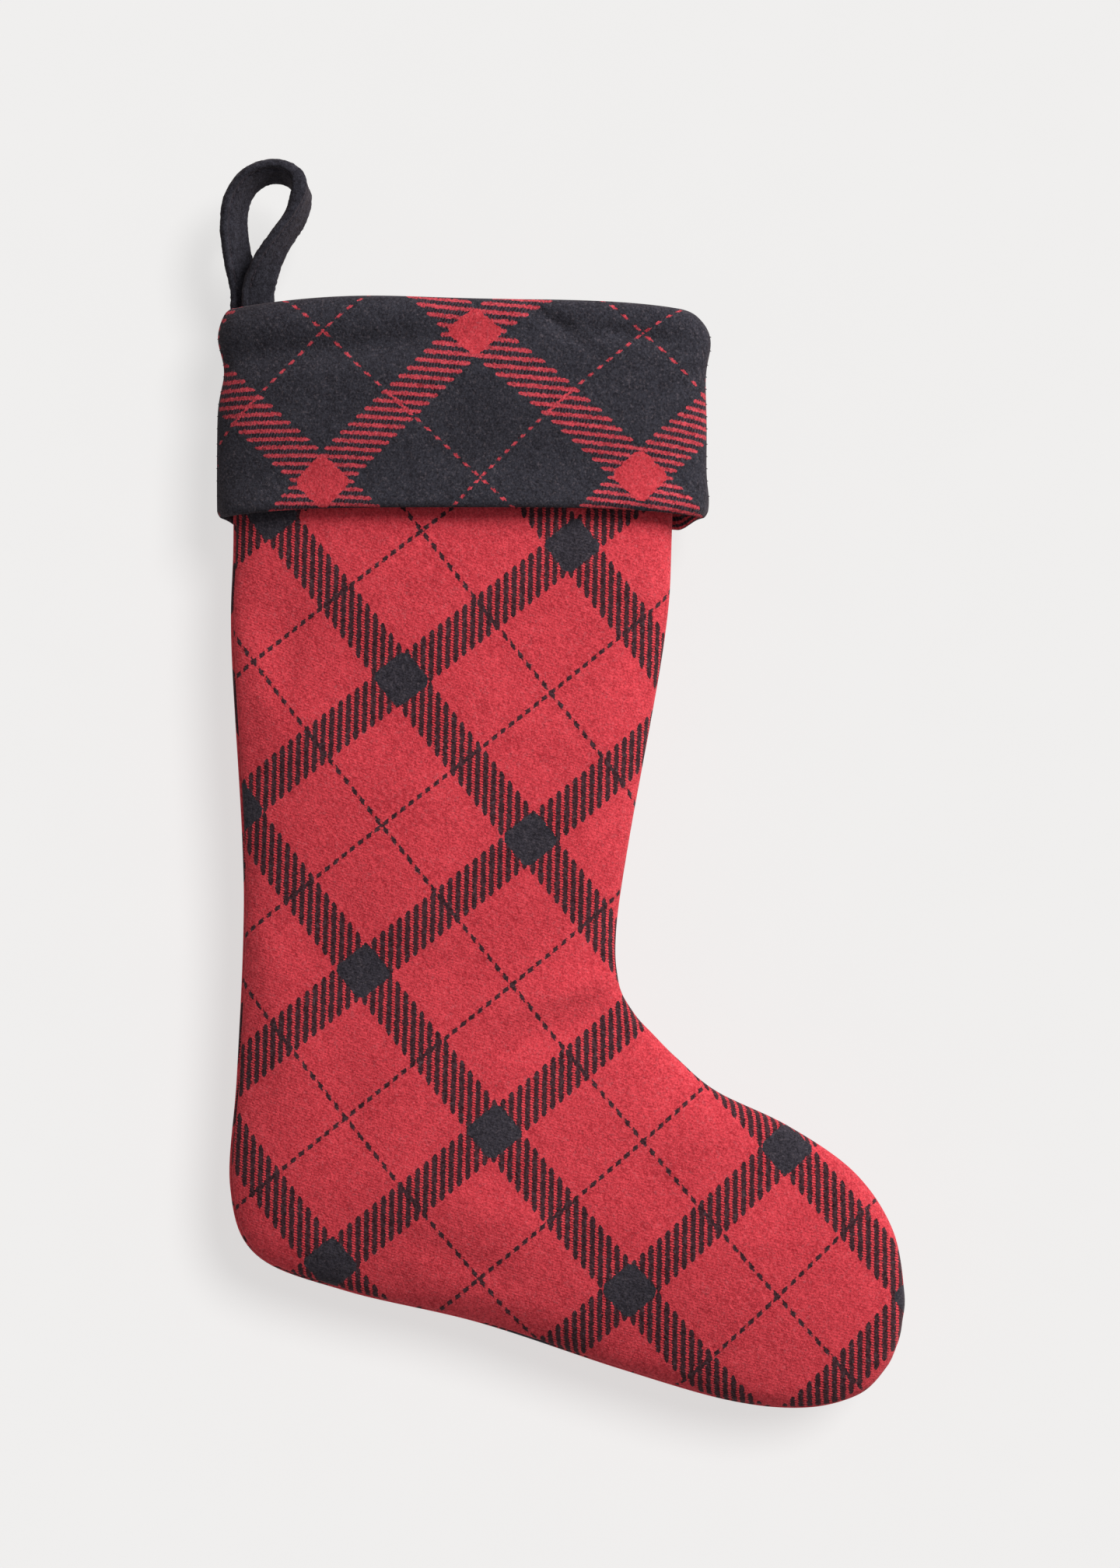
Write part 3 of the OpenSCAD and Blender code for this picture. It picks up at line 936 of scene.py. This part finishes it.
def dress(obj, material, slot, body, *nodes):
    """Gives a piece its material and its body, and hides the CAD nodes it stands for. The slot is
    not used.
    """
    obj.data.materials.append(material)
    if body:
        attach(obj, body)
    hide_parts(*nodes)


rows = bag_rows()
moves = settled(rows)
front, front_grid, front_n = panel("front_felt", -1, rows, moves)
back, back_grid, back_n = panel("back_felt", 1, rows, moves)
dress(front, leg_felt, "leg_felt", "stocking", "front_panel")
dress(back, leg_felt, "leg_felt", "stocking", "back_panel")

front_lining = lining("front_lining", front_grid, front_n)
back_lining = lining("back_lining", back_grid, back_n)
dress(front_lining, lining_cotton, "lining", "stocking", "lining_front")
dress(back_lining, lining_cotton, "lining", "stocking", "lining_back")

front_cuff, cuff_grid = cuff_half("front_cuff", -1)
back_cuff, _ = cuff_half("back_cuff", 1)
dress(front_cuff, cuff_felt, "cuff_felt", "stocking", "cuff_front")
dress(back_cuff, cuff_felt, "cuff_felt", "stocking", "cuff_back")

cuff_thread = side_stitches("cuff_side_thread", cuff_grid)
dress(cuff_thread, dark_thread, "dark_thread", "stocking", "cuff_side_stitching")

strap_piece = strap("strap")
dress(strap_piece, strap_felt, "strap_felt", None, "hanging_loop", "loop_tails")
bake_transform(strap_piece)

strap_thread = strap_stitches("strap_thread")
dress(strap_thread, dark_thread, "dark_thread", "loop", "loop_edge_stitching")

for node, material in (("loop_bartack", dark_thread), ("mouth_seam_stitching", dark_thread),
                       ("side_seam_stitching", red_thread)):
    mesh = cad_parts[node].data
    mesh.materials.clear()
    mesh.materials.append(material)


# ---------------------------------------------------------------- wall and light

WALL_Y = 52 * MM
WALL_HALF = 6.0
WALL_GLOW = 0.66        # the wall glows evenly, so only its own key light shades it
DOME_RADIUS = 9.0


def make_wall():
    """A plain pale wall just behind the stocking. Its back lets the rear views through."""
    corners = [(x * WALL_HALF, WALL_Y, z * WALL_HALF)
               for x, z in ((-1, -1), (1, -1), (1, 1), (-1, 1))]
    mesh = bpy.data.meshes.new("wall")
    mesh.from_pydata(corners, [], [(0, 1, 2, 3)])
    wall = bpy.data.objects.new("wall", mesh)
    bpy.context.scene.collection.objects.link(wall)
    material = bpy.data.materials.new("wall_paint")
    n = Nodes(material)
    grain = n.noise(place(n), 30.0, 3.0)
    colour = n.mix(grain, (0.195, 0.193, 0.191, 1), (0.205, 0.203, 0.201, 1))
    paint = n.feed(n.add("BsdfDiffuse"), {"Color": colour})
    glow = n.feed(n.add("Emission"), {"Color": (1.0, 0.99, 0.982, 1), "Strength": WALL_GLOW})
    lit = n.feed(n.add("AddShader"), {0: paint.outputs[0], 1: glow.outputs[0]})
    clear = n.add("BsdfTransparent")
    behind = n.add("NewGeometry").outputs["Backfacing"]
    both = n.feed(n.add("MixShader"), {0: behind, 1: lit.outputs[0], 2: clear.outputs[0]})
    out = n.add("OutputMaterial")
    n.link(both.outputs[0], out.inputs["Surface"])
    mesh.materials.append(material)
    return wall


def make_surround():
    """A plain pale dome round the studio, seen behind the stocking in the other views.

    It is there to be seen only: it neither lights nor shades anything.
    """
    mesh = bpy.data.meshes.new("surround")
    bm = bmesh.new()
    bmesh.ops.create_icosphere(bm, subdivisions=4, radius=DOME_RADIUS)
    bm.to_mesh(mesh)
    bm.free()
    dome = bpy.data.objects.new("surround", mesh)
    bpy.context.scene.collection.objects.link(dome)
    material = bpy.data.materials.new("surround_paint")
    n = Nodes(material)
    tone = n.mix(n.noise(place(n), 3.0), (0.862, 0.854, 0.846, 1), (0.868, 0.860, 0.852, 1))
    glow = n.feed(n.add("Emission"), {"Color": tone, "Strength": 1.0})
    n.link(glow.outputs[0], n.add("OutputMaterial").inputs["Surface"])
    mesh.materials.append(material)
    for ray in ("diffuse", "glossy", "transmission", "volume_scatter", "shadow"):
        setattr(dome, "visible_" + ray, False)


def aim(direction):
    """The rotation that turns a lamp to shine that way."""
    return Vector(direction).to_track_quat("-Z", "Y").to_euler()


def link_light(lamp, obj, state):
    """Shines a lamp on one object alone (INCLUDE), or on everything but it (EXCLUDE)."""
    receivers = bpy.data.collections.new(lamp.name + "_receivers")
    receivers.objects.link(obj)
    receivers.collection_objects[0].light_linking.link_state = state
    lamp.light_linking.receiver_collection = receivers


def make_sun(name, energy, spread_deg, toward, wall, state):
    """A sun that shines on the wall alone (INCLUDE), or on all but the wall (EXCLUDE)."""
    sun = bpy.data.lights.new(name, "SUN")
    sun.energy = energy
    sun.angle = math.radians(spread_deg)
    lamp = bpy.data.objects.new(name, sun)
    lamp.rotation_euler = aim(toward)
    bpy.context.scene.collection.objects.link(lamp)
    link_light(lamp, wall, state)


def make_light(wall):
    """A softbox at the upper right, a broad fill from the front, a faint sky, and a sun
    that draws the stocking's shadow on the wall and lights nothing else."""
    scene = bpy.context.scene
    world = bpy.data.worlds.new("studio")
    world.use_nodes = True
    background = world.node_tree.nodes["Background"]
    background.inputs["Color"].default_value = (1.0, 0.99, 0.985, 1)
    background.inputs["Strength"].default_value = 0.18
    scene.world = world
    make_sun("wall_key", 3.1, 22, (-0.38, 1.0, -0.36), wall, "INCLUDE")
    make_sun("fill", 0.5, 110, (0, 1.0, 0.3), wall, "EXCLUDE")
    softbox = bpy.data.lights.new("softbox", "AREA")
    softbox.energy = 150
    softbox.size = 1.6
    lamp = bpy.data.objects.new("softbox", softbox)
    lamp.location = (1.95, -1.65, 1.6)
    lamp.rotation_euler = aim(Vector((0.08, 0, -0.27)) - lamp.location)
    scene.collection.objects.link(lamp)
    lamp.visible_camera = False
    link_light(lamp, wall, "EXCLUDE")
    scene.view_settings.view_transform = "Standard"


make_surround()
make_light(make_wall())
